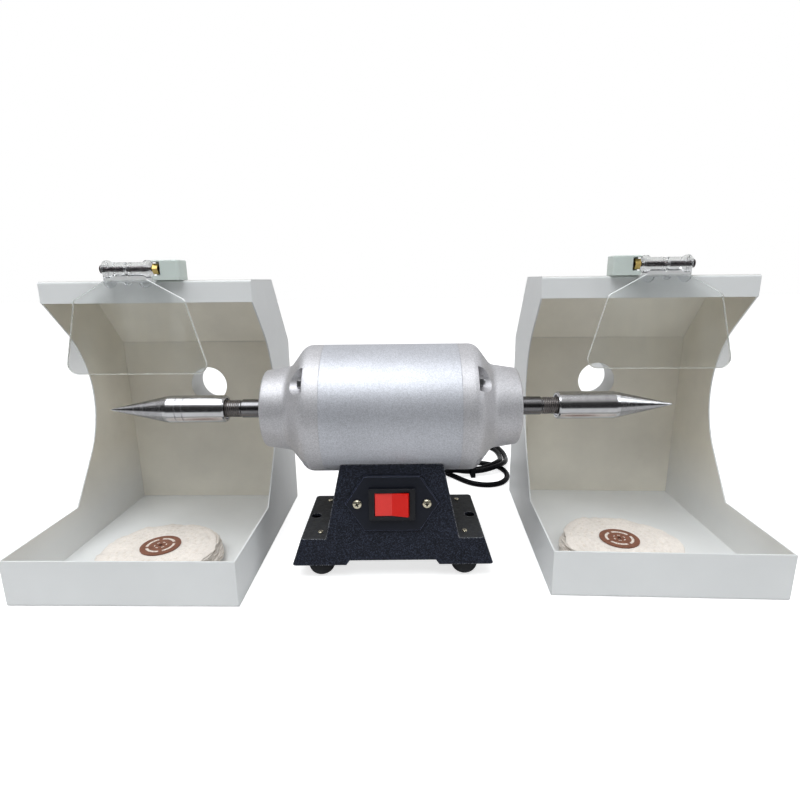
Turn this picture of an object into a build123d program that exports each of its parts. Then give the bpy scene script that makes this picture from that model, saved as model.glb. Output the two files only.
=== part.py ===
from build123d import *
import math
import os

# Dental bench grinder: a two-ended motor on a cast base, a tapered arbor on each end of
# its spindle, and at each side a free-standing dust hood with a clear eye shield, a duct
# spigot and a muslin buff lying in its tray. Millimetres. X runs along the spindle, the
# front faces -Y, Z is up, and the origin is on the bench under the middle of the motor.

# Motor and spindle, with lengths measured out from the middle of the motor
AXIS_Z = 129.0
TUBE_R = 50.5
TUBE_WALL = 3.5
TUBE_HALF = 51.8
BELL_SHOULDER = (65.7, TUBE_R)
BELL_NOSE = (78.3, 33.9)
BELL_RIM = (99.5, 30.6)
BELL_ROUNDS = (10.0, 8.0, 2.0)
BELL_BORE_R = 46.5
BELL_FLOOR_X = 60.0
BOSS_X = 76.0
BOSS_R = 22.0
SHAFT_HOLE_R = 8.0
FIT = 0.02
TIE_CIRCLE_R = 44.0
TIE_ANGLE = 38.0
TIE_R = 2.5
TIE_SEAT_X = 64.0
TIE_HEAD_R = 4.4
TIE_HEAD_H = 3.5
POCKET_CIRCLE_R = 48.5
POCKET_R = 10.0
POCKET_DEPTH = 14.0
CORE_HALF = 30.0
AIR_GAP_R = 23.8
WINDING_END_X = 53.0
BEARING_X = (82.0, 93.0)
BEARING_R = (7.5, 17.5)
RACE_WALL = 3.1
WAVE_WASHER = 1.0
SHAFT_R = 7.4
SHAFT_BODY_R = 9.0
THREAD_X = 120.5
THREAD_END_X = 160.0
THREAD_R = 6.55
ARBOR_X = 132.8
ARBOR_R = 11.0
CONE_X = 178.5
TIP_X = 226.5
TIP_R = 0.4

# Base
SKIRT_Z = 12.9
FLANGE_Z = 34.4
TOWER_Z = 93.5
SKIRT_HALF_W = (78.4, 71.0)
TOWER_HALF_W = (51.5, 39.0)
BASE_HALF_D = 42.5
TOWER_HALF_D = 36.0
BASE_WALL = 2.5
BENCH_HOLE_X = 65.0
BENCH_HOLE_R = 4.25
FOOT_X = 57.0
FOOT_Y = 29.5
FOOT_R = 10.5
PLATE_Z = 20.0
PLATE_T = 1.5
SADDLE_SCREW_X = 34.0

# Switch, on the leaning front of the base
SWITCH_Z = 63.0
PANEL_T = 2.0
BEZEL_T = 2.5
ROCKER_W = 25.8
ROCKER_H = 17.8
ROCKER_TILT = 8.0
ROCKER_DEPTH = 1.5

# Hoods: place of the middle of the front edge on the bench, turn, and side of the motor
HOODS = {"left": (-195.6, -74.0, -1.3, 1), "right": (202.0, -70.5, -3.0, -1)}
HOOD_W = 170.0
HOOD_D = 194.7
HOOD_H = 230.4
TRAY_H = 36.5
TRAY_KNEE = 88.0
LIP_Y = 85.8
LIP_H = 17.5
ROOF_END_Y = 145.7
BACK_H = 170.6
CHEEK_ARC_R = 88.0
CHEEK_CORNER = (160.5, 134.0)
SHEET = 1.2
BEND_R = 2.2
DUCT_Z = 125.0
DUCT_R = 18.25
DUCT_L = 28.0

# Eye shields, measured in their hood from the front and from the bench
SHIELD_OFFSET = 9.8
SHIELD_Y = 78.0
SHIELD_T = 2.5
HINGE_Y = 84.0
HINGE_Z = 239.0
COLLAR_R = 6.7
KNUCKLE_R = 5.2
KNUCKLE_L = 17.6
HINGE_HALF = 18.6
HINGE_BOLT_R = 1.9
BLOCK_SIZE = (22.0, 17.0, 15.2)
NUT_R = 4.6
NUT_POCKET = 7.5

# Buffs lying in the trays
BUFF_AT = {"left": (-190.0, -21.0), "right": (186.5, -17.2)}
BUFF_R = 47.5
BUFF_T = 18.0
LABEL_R = 15.5

# Mains lead, from the gland at the back of the base to the tied hank behind it
CORD_R = 3.0
GLAND_X = -20.0
GLAND_Z = 48.0
GLAND_L = 28.0
HANK_H = 12.6
TIE_X = 90.0

os.makedirs("parts", exist_ok=True)

SPINDLE = Axis((0, 0, AXIS_Z), (1, 0, 0))
HALF_SECTION = Plane(origin=(0, 0, AXIS_Z), x_dir=(1, 0, 0), z_dir=(0, -1, 0))


def save(piece, name):
    """Label a finished piece and write it to a file of its own."""
    piece.part.label = name
    export_step(piece.part, f"parts/{name}.step")


def band(x0, x1, r0, r1):
    """Half section of a plain ring on the spindle."""
    return [(x0, r0), (x1, r0), (x1, r1), (x0, r1)]


def turned(name, *sections):
    """A piece turned about the spindle from (along, radius) outlines."""
    with BuildPart() as piece:
        for section in sections:
            with BuildSketch(HALF_SECTION):
                with BuildLine():
                    Polyline(*section, close=True)
                make_face()
            revolve(axis=SPINDLE)
    save(piece, name)


def across_spindle(x, facing=1):
    """Plane square to the spindle, facing along it."""
    return Plane(origin=(x, 0, AXIS_Z), x_dir=(0, facing, 0), z_dir=(facing, 0, 0))


def tie_spots(radius, facing=1):
    """The four tie bolt places on such a plane, the first one up from the front by its angle."""
    return PolarLocations(radius, 4, start_angle=90 - TIE_ANGLE if facing > 0 else TIE_ANGLE)


# Stator

def stator_tube():
    with BuildPart() as tube:
        with BuildSketch(across_spindle(-TUBE_HALF)):
            Circle(TUBE_R)
            Circle(TUBE_R - TUBE_WALL, mode=Mode.SUBTRACT)
        extrude(amount=2 * TUBE_HALF)
        with BuildSketch(Plane.XY.offset(AXIS_Z - TUBE_R - 1)):
            with GridLocations(2 * SADDLE_SCREW_X, 0, 2, 1):
                Circle(TIE_R + FIT)
        extrude(amount=TUBE_WALL + 2, mode=Mode.SUBTRACT)
    save(tube, "stator_tube")


def end_bell(side, name, seat_end):
    """Die-cast end bell: a deep shoulder, a bearing boss and four tie bolt pockets."""
    outside = [BELL_SHOULDER, BELL_NOSE, BELL_RIM]
    inside = [
        (BELL_RIM[0], SHAFT_HOLE_R),
        (seat_end, SHAFT_HOLE_R),
        (seat_end, BEARING_R[1] + FIT),
        (BOSS_X, BEARING_R[1] + FIT),
        (BOSS_X, BOSS_R),
        (71.0, 30.0),
        (BELL_FLOOR_X, 34.0),
        (BELL_FLOOR_X, BELL_BORE_R),
        (TUBE_HALF, BELL_BORE_R),
        (TUBE_HALF, TUBE_R),
    ]
    with BuildPart() as bell:
        with BuildSketch(HALF_SECTION) as section:
            with BuildLine():
                Polyline(*[(side * x, r) for x, r in outside + inside], close=True)
            make_face()
            for (x, r), radius in zip(outside, BELL_ROUNDS):
                fillet(section.vertices().sort_by_distance((side * x, r, 0))[0], radius)
        revolve(axis=SPINDLE)
        with BuildSketch(across_spindle(side * TIE_SEAT_X, side)):
            with tie_spots(POCKET_CIRCLE_R, side):
                Circle(POCKET_R)
        extrude(amount=POCKET_DEPTH, mode=Mode.SUBTRACT)
        with BuildSketch(across_spindle(side * TUBE_HALF, side)):
            with tie_spots(TIE_CIRCLE_R, side):
                Circle(TIE_R + 0.25)
        extrude(amount=TIE_SEAT_X - TUBE_HALF, mode=Mode.SUBTRACT)
    save(bell, name)


def stator_core():
    """Lamination stack, notched at its rim where the tie bolts pass."""
    with BuildPart() as core:
        with BuildSketch(across_spindle(-CORE_HALF)):
            Circle(TUBE_R - TUBE_WALL - FIT)
            Circle(AIR_GAP_R + 0.4, mode=Mode.SUBTRACT)
            with tie_spots(TIE_CIRCLE_R):
                SlotOverall(9.0, 2 * TIE_R + 1.2, mode=Mode.SUBTRACT)
        extrude(amount=2 * CORE_HALF)
    save(core, "stator_core")


def stator_windings():
    """The bundled end turns at both ends of the lamination stack."""
    with BuildPart() as windings:
        for side in (-1, 1):
            with BuildSketch(HALF_SECTION) as section:
                with BuildLine():
                    Polyline(*band(side * CORE_HALF, side * WINDING_END_X, 27.0, 40.0), close=True)
                make_face()
                ends = section.vertices().sort_by(Axis.X)
                fillet(ends[-2:] if side > 0 else ends[:2], 5.0)
            revolve(axis=SPINDLE)
    save(windings, "stator_windings")


def tie_bolts():
    """Four long bolts with their heads on the left and nuts on the right."""
    with BuildPart() as bolts:
        with BuildSketch(across_spindle(-TIE_SEAT_X)):
            with tie_spots(TIE_CIRCLE_R):
                Circle(TIE_R)
        extrude(amount=2 * TIE_SEAT_X + TIE_HEAD_H + 1.5)
        for side in (-1, 1):
            with BuildSketch(across_spindle(side * TIE_SEAT_X, side)):
                with tie_spots(TIE_CIRCLE_R, side):
                    RegularPolygon(TIE_HEAD_R, 6)
            extrude(amount=TIE_HEAD_H)
    save(bolts, "tie_bolts")


def bearings():
    """Outer races with their shields, inner races, and a wave washer on the right."""
    x0, x1 = BEARING_X
    r0, r1 = BEARING_R
    shield = 0.8
    for side, name in ((-1, "left"), (1, "right")):
        faces = [(x0, x0 + shield), (x1 - shield, x1)]
        shields = [band(side * a, side * b, r0 + RACE_WALL + 0.3, r1 - 1) for a, b in faces]
        turned(f"{name}_bearing_outer", band(side * x0, side * x1, r1 - RACE_WALL, r1), *shields)
        turned(f"{name}_bearing_inner", band(side * x0, side * x1, r0, r0 + RACE_WALL))
    turned("wave_washer", band(x1, x1 + WAVE_WASHER, r1 - 3.5, r1 - 0.5))


# Rotor

def shaft():
    half = [
        (THREAD_END_X, 0),
        (THREAD_END_X, THREAD_R - 1),
        (THREAD_END_X - 1, THREAD_R),
        (THREAD_X, THREAD_R),
        (THREAD_X - 1, SHAFT_R),
        (BEARING_X[1], SHAFT_R),
        (BEARING_X[1], BEARING_R[0] - FIT),
        (BEARING_X[0], BEARING_R[0] - FIT),
        (BEARING_X[0], SHAFT_BODY_R),
    ]
    turned("shaft", half + [(-x, r) for x, r in reversed(half)])


def rotor_cage():
    turned("rotor_core", band(-CORE_HALF, CORE_HALF, SHAFT_BODY_R + FIT, AIR_GAP_R))
    rings = [band(side * CORE_HALF, side * (CORE_HALF + 8), 15.0, 22.5) for side in (-1, 1)]
    turned("rotor_end_rings", *rings)


def arbor(side, name, grooves):
    """Screw-on arbor: a counterbored sleeve that runs out into a long pointed cone."""
    bore_r = THREAD_R + 0.05
    outline = [
        (ARBOR_X, bore_r + 2),
        (ARBOR_X, ARBOR_R - 0.8),
        (ARBOR_X + 1.2, ARBOR_R),
    ]
    for at in grooves:
        outline += [(at, ARBOR_R), (at + 0.3, ARBOR_R - 0.4), (at + 0.8, ARBOR_R - 0.4)]
        outline += [(at + 1.1, ARBOR_R)]
    outline += [
        (CONE_X, ARBOR_R),
        (TIP_X - 0.4, TIP_R + 0.2),
        (TIP_X, TIP_R - 0.2),
        (TIP_X, 0),
        (THREAD_END_X + 4, 0),
        (THREAD_END_X + 0.5, bore_r),
        (ARBOR_X + 3, bore_r),
        (ARBOR_X + 3, bore_r + 2),
    ]
    turned(name, [(side * x, r) for x, r in outline])


# Base

def half_depth(z):
    """Half the depth of the base at a height: front and back lean in together."""
    return BASE_HALF_D - (z - SKIRT_Z) * (BASE_HALF_D - TOWER_HALF_D) / (TOWER_Z - SKIRT_Z)


def skirt_half(z):
    low, high = SKIRT_HALF_W
    return low - (z - SKIRT_Z) * (low - high) / (FLANGE_Z - SKIRT_Z)


def tower_half(z):
    low, high = TOWER_HALF_W
    return low - (z - FLANGE_Z) * (low - high) / (TOWER_Z - FLANGE_Z)


def wall_plane(x, z, facing):
    """Plane on the leaning front (-1) or back (1) of the base, facing out, its y up."""
    lean = (BASE_HALF_D - TOWER_HALF_D) / (TOWER_Z - SKIRT_Z)
    return Plane(origin=(x, facing * half_depth(z), z), x_dir=(-facing, 0, 0), z_dir=(0, facing, lean))


def base_housing():
    """Cast base: a skirt with two flanges and a tower that cradles the motor tube."""
    feet = [(x, y) for x in (-FOOT_X, FOOT_X) for y in (-FOOT_Y, FOOT_Y)]
    with BuildPart() as hollow:
        for half_width, top in ((skirt_half, FLANGE_Z - BASE_WALL), (tower_half, TOWER_Z)):
            for z in (SKIRT_Z, top):
                with BuildSketch(Plane.XY.offset(z)):
                    Rectangle(2 * (half_width(z) - BASE_WALL), 2 * (half_depth(z) - BASE_WALL))
            loft()
        with BuildSketch(across_spindle(-TUBE_HALF)):
            Circle(TUBE_R + BASE_WALL)
        extrude(amount=2 * TUBE_HALF, mode=Mode.SUBTRACT)
    with BuildPart() as housing:
        for z in (SKIRT_Z, FLANGE_Z):
            with BuildSketch(Plane.XY.offset(z)):
                Rectangle(2 * skirt_half(z), 2 * half_depth(z))
        loft()
        fillet(housing.edges().filter_by(Axis.X, reverse=True).filter_by(Axis.Y, reverse=True), 3.0)
        for z in (FLANGE_Z, TOWER_Z):
            with BuildSketch(Plane.XY.offset(z)):
                Rectangle(2 * tower_half(z), 2 * half_depth(z))
        loft()
        fillet(housing.edges().filter_by(Axis.Y).group_by(Axis.Z)[-1], 3.0)
        with BuildSketch(across_spindle(-TUBE_HALF)):
            Circle(TUBE_R + FIT)
        extrude(amount=2 * TUBE_HALF, mode=Mode.SUBTRACT)
        add(hollow.part, mode=Mode.SUBTRACT)
        with BuildSketch(Plane.XY.offset(PLATE_Z + PLATE_T)):
            with Locations(*feet):
                Circle(6.0)
        extrude(amount=FLANGE_Z - PLATE_Z - PLATE_T)
        with BuildSketch(Plane.XY.offset(FLANGE_Z)):
            with Locations(*feet):
                Circle(2.1)
            with GridLocations(2 * BENCH_HOLE_X, 0, 2, 1):
                Circle(BENCH_HOLE_R)
        extrude(amount=PLATE_Z - FLANGE_Z, mode=Mode.SUBTRACT)
        with BuildSketch(Plane.XY):
            with GridLocations(2 * SADDLE_SCREW_X, 0, 2, 1):
                Circle(TIE_R + 0.2)
        extrude(amount=AXIS_Z - TUBE_R + 1, mode=Mode.SUBTRACT)
        with BuildSketch(Plane.XZ.offset(-2 * BASE_HALF_D)):
            with BuildLine():
                Polyline(
                    (-37.0, SKIRT_Z - 1), (-33.5, SKIRT_Z + 3.8), (33.5, SKIRT_Z + 3.8),
                    (37.0, SKIRT_Z - 1), close=True,
                )
            make_face()
        extrude(amount=4 * BASE_HALF_D, mode=Mode.SUBTRACT)
        with BuildSketch(wall_plane(0, SWITCH_Z, -1)):
            Rectangle(31.0, 23.0)
            with GridLocations(53.0, 0, 2, 1):
                Circle(1.7)
        extrude(amount=-2 * BASE_WALL, mode=Mode.SUBTRACT)
        with BuildSketch(wall_plane(GLAND_X, GLAND_Z, 1)):
            Circle(6.0 + FIT)
        extrude(amount=-2 * BASE_WALL, mode=Mode.SUBTRACT)
    save(housing, "base_housing")


def bottom_plate():
    """Sheet cover inside the skirt, clamped between the foot bosses and the feet."""
    with BuildPart() as plate:
        with BuildSketch(Plane.XY.offset(PLATE_Z)):
            RectangleRounded(
                2 * (skirt_half(PLATE_Z + PLATE_T) - BASE_WALL - 0.4),
                2 * (half_depth(PLATE_Z + PLATE_T) - BASE_WALL - 0.4),
                3.0,
            )
            with GridLocations(2 * FOOT_X, 2 * FOOT_Y, 2, 2):
                Circle(2.1, mode=Mode.SUBTRACT)
            with GridLocations(2 * BENCH_HOLE_X, 0, 2, 1):
                Circle(BENCH_HOLE_R + 1.5, mode=Mode.SUBTRACT)
        extrude(amount=PLATE_T)
    save(plate, "bottom_plate")


def feet():
    """Domed rubber feet, each with a neck that reaches up to the bottom plate."""
    with BuildPart() as rubber:
        for x in (-FOOT_X, FOOT_X):
            for y in (-FOOT_Y, FOOT_Y):
                with BuildSketch(Plane(origin=(x, y, 0), x_dir=(1, 0, 0), z_dir=(0, -1, 0))):
                    with BuildLine():
                        Polyline((3.4, 0), (0, 0), (0, 3.5), (2.05, 3.5), (2.05, PLATE_Z), (6.0, PLATE_Z))
                        Polyline((6.0, PLATE_Z), (6.0, SKIRT_Z), (FOOT_R, SKIRT_Z), (FOOT_R, 8.2))
                        ThreePointArc((FOOT_R, 8.2), (8.3, 2.8), (3.4, 0))
                    make_face()
                revolve(axis=Axis((x, y, 0), (0, 0, 1)))
    save(rubber, "rubber_feet")
    with BuildPart() as screws:
        with BuildSketch(Plane.XY.offset(4.0)):
            with GridLocations(2 * FOOT_X, 2 * FOOT_Y, 2, 2):
                Circle(2.0)
        extrude(amount=FLANGE_Z - 4.0)
        with BuildSketch(Plane.XY.offset(FLANGE_Z)):
            with GridLocations(2 * FOOT_X, 2 * FOOT_Y, 2, 2):
                Circle(2.2)
        extrude(amount=1.3)
        fillet(screws.edges().filter_by(GeomType.CIRCLE).group_by(Axis.Z)[-1], 0.8)
    save(screws, "foot_screws")


def saddle_screws():
    """Two screws that hold the motor tube down in the cradle of the base."""
    seat = AXIS_Z - TUBE_R - BASE_WALL
    with BuildPart() as screws:
        with BuildSketch(Plane.XY.offset(seat)):
            with GridLocations(2 * SADDLE_SCREW_X, 0, 2, 1):
                Circle(TIE_R)
        extrude(amount=BASE_WALL + TUBE_WALL)
        with BuildSketch(Plane.XY.offset(seat - 3.0)):
            with GridLocations(2 * SADDLE_SCREW_X, 0, 2, 1):
                RegularPolygon(TIE_HEAD_R, 6)
        extrude(amount=3.0)
    save(screws, "saddle_screws")


def capacitor():
    """Run capacitor lying on the bottom plate under a bent strap."""
    radius = 15.0
    at = Plane(origin=(0, 12.0, PLATE_Z + PLATE_T + radius), x_dir=(0, 1, 0), z_dir=(1, 0, 0))
    with BuildPart() as can:
        with BuildSketch(at.offset(-26.0)):
            Circle(radius)
        extrude(amount=52.0)
        fillet(can.edges().filter_by(GeomType.CIRCLE), 1.5)
    save(can, "capacitor")
    with BuildPart() as strap:
        with BuildSketch(at.offset(-7.0)):
            with BuildLine():
                Polyline((-24.0, -radius), (-radius - FIT, -radius), (-radius - FIT, 0))
                ThreePointArc((-radius - FIT, 0), (0, radius + FIT), (radius + FIT, 0))
                Polyline((radius + FIT, 0), (radius + FIT, -radius), (24.0, -radius))
                offset(amount=1.0, side=Side.LEFT)
            make_face()
        extrude(amount=14.0)
    save(strap, "capacitor_strap")


# Switch

def switch():
    front = wall_plane(0, SWITCH_Z, -1)
    with BuildPart() as panel:
        with BuildSketch(front):
            with BuildLine():
                Polyline(
                    (-36.0, 0), (-21.5, 21.8), (21.5, 21.8), (36.0, 0), (21.5, -21.8),
                    (-21.5, -21.8), close=True,
                )
            make_face()
            Rectangle(30.2, 22.2, mode=Mode.SUBTRACT)
            with GridLocations(53.0, 0, 2, 1):
                Circle(1.7, mode=Mode.SUBTRACT)
        extrude(amount=PANEL_T)
        rim = panel.faces().sort_by(Axis(front.origin, front.z_dir))[-1]
        chamfer(rim.outer_wire().edges(), 0.7)
    save(panel, "switch_panel")

    with BuildPart() as body:
        with BuildSketch(front.offset(PANEL_T)):
            RectangleRounded(35.2, 24.5, 1.0)
        extrude(amount=BEZEL_T)
        with BuildSketch(front.offset(PANEL_T)):
            Rectangle(30.0, 22.0)
        extrude(amount=-20.0)
        with BuildSketch(front.offset(PANEL_T + BEZEL_T)):
            Rectangle(ROCKER_W + 0.9, ROCKER_H + 0.7)
        extrude(amount=-9.0, mode=Mode.SUBTRACT)
    save(body, "switch_body")

    pivot = front.offset(PANEL_T + BEZEL_T - ROCKER_DEPTH)
    tilt = math.radians(ROCKER_TILT)
    along = pivot.x_dir * math.cos(tilt) + pivot.z_dir * math.sin(tilt)
    profile = Plane(origin=pivot.origin - pivot.y_dir * (ROCKER_H / 2), x_dir=along, z_dir=pivot.y_dir)
    end_r = ROCKER_W / 2 + 0.1
    top = math.radians(12)
    low = math.radians(-18)
    with BuildPart() as rocker:
        with BuildSketch(profile):
            with BuildLine():
                right = (end_r * math.cos(top), -end_r * math.sin(top))
                right_low = (end_r * math.cos(low), -end_r * math.sin(low))
                Polyline((-right[0], right[1]), (0, -0.9), right)
                ThreePointArc(right, (end_r, 0), right_low)
                Polyline(right_low, (3.0, 5.2), (-3.0, 5.2), (-right_low[0], right_low[1]))
                ThreePointArc((-right_low[0], right_low[1]), (-end_r, 0), (-right[0], right[1]))
            make_face()
        extrude(amount=ROCKER_H)
    save(rocker, "rocker")

    with BuildPart() as screws:
        with BuildSketch(front.offset(PANEL_T)):
            with GridLocations(53.0, 0, 2, 1):
                Circle(3.5)
        extrude(amount=2.0)
        fillet(screws.edges().filter_by(GeomType.CIRCLE).sort_by(Axis(front.origin, front.z_dir))[-2:], 1.4)
        with BuildSketch(front.offset(PANEL_T)):
            with GridLocations(53.0, 0, 2, 1):
                Circle(1.65)
        extrude(amount=-9.0)
    save(screws, "switch_screws")


# Hoods

def hood_frame(x, y, turn):
    """A hood's own plane on the bench: its x runs across, its y runs back."""
    angle = math.radians(turn)
    return Plane(origin=(x, y, 0), x_dir=(math.cos(angle), math.sin(angle), 0), z_dir=(0, 0, 1))


def side_plane(hood, across):
    """Plane that cuts a hood from front to back: its x runs back and its y up."""
    return Plane(origin=hood.from_local_coords((across, 0, 0)), x_dir=hood.y_dir, z_dir=hood.x_dir)


def front_plane(hood, across, back):
    """Plane across a hood that faces the front: its x runs across and its y up."""
    return Plane(origin=hood.from_local_coords((across, back, 0)), x_dir=hood.x_dir, z_dir=-hood.y_dir)


def folded_sheet(hood, name, outline, side):
    """A sheet as wide as the hood, folded along its outline seen from the side."""
    with BuildPart() as sheet:
        with BuildSketch(side_plane(hood, -HOOD_W / 2)):
            with BuildLine():
                FilletPolyline(*outline, radius=BEND_R)
                offset(amount=SHEET, side=side)
            make_face()
        extrude(amount=HOOD_W)
    save(sheet, name)
    return sheet


def back_sheet(hood, name):
    """Back of a hood, from the tray floor up to the corner of the canopy's lower edge."""
    top = BACK_H - 0.66 * SHEET
    with BuildPart() as sheet:
        with BuildSketch(front_plane(hood, 0, HOOD_D)):
            with Locations((0, (top + SHEET) / 2)):
                Rectangle(HOOD_W, top - SHEET)
            with Locations((0, DUCT_Z)):
                Circle(DUCT_R, mode=Mode.SUBTRACT)
        extrude(amount=SHEET)
    save(sheet, name)
    return sheet


def cheek(hood, name, across, sheets):
    """Side wall with a deep round cut at the front, trimmed to the sheets it is welded to."""
    half = 0.75 * SHEET
    with BuildPart() as wall:
        with BuildSketch(side_plane(hood, across)) as outline:
            with BuildLine():
                Polyline(
                    (half, half), (HOOD_D - half, half), (HOOD_D - half, BACK_H - SHEET),
                    (ROOF_END_Y, HOOD_H - half), (LIP_Y + half, HOOD_H - half),
                    (LIP_Y + half, HOOD_H - LIP_H), CHEEK_CORNER, (TRAY_KNEE, TRAY_H),
                    (half, TRAY_H), close=True,
                )
            make_face()
            fillet(outline.vertices().sort_by_distance((*CHEEK_CORNER, 0))[0], CHEEK_ARC_R)
        extrude(amount=SHEET)
        for sheet in sheets:
            add(sheet.part, mode=Mode.SUBTRACT)
    save(wall, name)


def duct_spigot(hood, name):
    """Hose spigot on the back: a short tube with a welding collar."""
    out = Plane(origin=hood.from_local_coords((0, HOOD_D, DUCT_Z)), x_dir=-hood.x_dir, z_dir=hood.y_dir)
    with BuildPart() as spigot:
        for radius, length in ((DUCT_R + 8, SHEET), (DUCT_R + 1.5, DUCT_L)):
            with BuildSketch(out):
                Circle(radius)
                Circle(DUCT_R, mode=Mode.SUBTRACT)
            extrude(amount=length)
    save(spigot, name)


def shield(hood, name, middle):
    """Clear eye shield, narrow at the hinge and wide below, on two moulded knuckles."""
    outline = [(-16.0, 231.0), (-43.5, 215.5), (-58.5, 157.0)]
    with BuildPart() as sheet:
        with BuildSketch(front_plane(hood, middle, SHIELD_Y + SHIELD_T)) as face:
            with BuildLine():
                Polyline(*outline, *[(-x, z) for x, z in reversed(outline)], close=True)
            make_face()
            fillet(face.vertices().group_by(Axis.Y)[0], 8.0)
            fillet(face.vertices().filter_by(lambda v: abs(v.Y - 215.5) < 1), 4.0)
        extrude(amount=SHIELD_T)
    save(sheet, f"{name}_shield")
    web = 2.4
    bore = HINGE_BOLT_R + 0.08
    knuckle = [
        (HINGE_HALF, bore), (HINGE_HALF, COLLAR_R - 1.2), (HINGE_HALF - 1.2, COLLAR_R),
        (HINGE_HALF - 4.0, COLLAR_R), (HINGE_HALF - 6.5, KNUCKLE_R),
        (HINGE_HALF - KNUCKLE_L, KNUCKLE_R), (HINGE_HALF - KNUCKLE_L, bore),
    ]
    front = front_plane(hood, middle, HINGE_Y)
    pin = Axis(front.from_local_coords((0, HINGE_Z, 0)), hood.x_dir)
    with BuildPart() as hinge:
        for start in (-HINGE_HALF, HINGE_HALF - KNUCKLE_L):
            with BuildSketch(side_plane(hood, middle + start)):
                with Locations((SHIELD_Y + SHIELD_T + web / 2, HINGE_Z - 6)):
                    Rectangle(web, 8.0)
            extrude(amount=KNUCKLE_L)
        with BuildSketch(front_plane(hood, middle, SHIELD_Y + SHIELD_T + web)):
            with Locations((-14.0, HINGE_Z - 9.5), (14.0, HINGE_Z - 9.5)):
                Circle(4.6)
            with Locations((0, HINGE_Z - 9.0)):
                Circle(3.2)
        extrude(amount=web)
        with BuildSketch(side_plane(hood, middle - HINGE_HALF)):
            with Locations((HINGE_Y, HINGE_Z)):
                Circle(bore)
        extrude(amount=2 * HINGE_HALF, mode=Mode.SUBTRACT)
        for side in (-1, 1):
            with BuildSketch(front):
                with BuildLine():
                    Polyline(*[(side * x, HINGE_Z + r) for x, r in knuckle], close=True)
                make_face()
            revolve(axis=pin)
    save(hinge, f"{name}_shield_hinge")


def hinge_fixture(hood, name, middle, inward):
    """Block on the roof that carries the hinge bolt, its nut in an open pocket."""
    near = middle + inward * (HINGE_HALF + 1.0)
    width, depth, height = BLOCK_SIZE
    roof = Plane(origin=hood.from_local_coords((0, 0, HOOD_H)), x_dir=hood.x_dir, z_dir=hood.z_dir)
    with BuildPart() as block:
        with BuildSketch(roof):
            with Locations((near + inward * width / 2, SHIELD_Y + 1 + depth / 2)):
                RectangleRounded(width, depth, 2.5)
        extrude(amount=height)
        fillet(block.faces().sort_by(Axis.Z)[-1].edges(), 1.0)
        with BuildSketch(front_plane(hood, near, SHIELD_Y)):
            with Locations((0, HINGE_Z)):
                Rectangle(2 * NUT_POCKET, 2 * NUT_R + 1.0)
        extrude(amount=-(HINGE_Y - SHIELD_Y + NUT_R + 0.6), mode=Mode.SUBTRACT)
        with BuildSketch(side_plane(hood, near)):
            with Locations((HINGE_Y, HINGE_Z)):
                Circle(HINGE_BOLT_R + FIT)
        extrude(amount=inward * (NUT_POCKET + 6.5), mode=Mode.SUBTRACT)
    save(block, f"{name}_hinge_block")
    head = middle - inward * (HINGE_HALF + 0.3)
    with BuildPart() as bolt:
        for radius, length in ((3.2, -2.2), (HINGE_BOLT_R, 2 * HINGE_HALF + NUT_POCKET + 7.0)):
            with BuildSketch(side_plane(hood, head)):
                with Locations((HINGE_Y, HINGE_Z)):
                    Circle(radius)
            extrude(amount=inward * length)
    save(bolt, f"{name}_hinge_bolt")
    with BuildPart() as nut:
        with BuildSketch(side_plane(hood, near + inward)):
            with Locations((HINGE_Y, HINGE_Z)):
                RegularPolygon(NUT_R, 6)
                Circle(HINGE_BOLT_R + FIT, mode=Mode.SUBTRACT)
        extrude(amount=inward * 4.2)
    save(nut, f"{name}_hinge_nut")


def buff(name, x, y):
    """Muslin buff lying in the tray, with the fibre disc at its middle."""
    section = Plane(origin=(x, y, SHEET), x_dir=(1, 0, 0), z_dir=(0, -1, 0))
    axis = Axis((x, y, 0), (0, 0, 1))
    with BuildPart() as cloth:
        with BuildSketch(section) as face:
            with BuildLine():
                Polyline(
                    (1.5, 0), (BUFF_R - 3, 0), (BUFF_R, 5.0), (BUFF_R - 2, BUFF_T - 2),
                    (LABEL_R + 4, BUFF_T), (1.5, BUFF_T), close=True,
                )
            make_face()
            fillet(face.vertices().filter_by(lambda v: v.X > LABEL_R + 5), 2.0)
        revolve(axis=axis)
    save(cloth, f"{name}_buff")
    with BuildPart() as disc:
        with BuildSketch(Plane(origin=(x, y, SHEET + BUFF_T))):
            Circle(LABEL_R)
            Circle(1.5, mode=Mode.SUBTRACT)
        extrude(amount=0.8)
    save(disc, f"{name}_buff_disc")


def hood(name):
    x, y, turn, inward = HOODS[name]
    frame = hood_frame(x, y, turn)
    tray = folded_sheet(frame, f"{name}_tray", [(0, TRAY_H), (0, 0), (HOOD_D, 0)], Side.LEFT)
    roof = [(LIP_Y, HOOD_H - LIP_H), (LIP_Y, HOOD_H), (ROOF_END_Y, HOOD_H), (HOOD_D, BACK_H)]
    canopy = folded_sheet(frame, f"{name}_canopy", roof, Side.RIGHT)
    back = back_sheet(frame, f"{name}_back")
    near, far = (HOOD_W / 2 - SHEET, -HOOD_W / 2) if inward > 0 else (-HOOD_W / 2, HOOD_W / 2 - SHEET)
    cheek(frame, f"{name}_inner_cheek", near, (tray, canopy, back))
    cheek(frame, f"{name}_outer_cheek", far, (tray, canopy, back))
    duct_spigot(frame, f"{name}_duct_spigot")
    shield(frame, name, -inward * SHIELD_OFFSET)
    hinge_fixture(frame, name, -inward * SHIELD_OFFSET, inward)
    buff(name, *BUFF_AT[name])


# Mains lead

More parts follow.
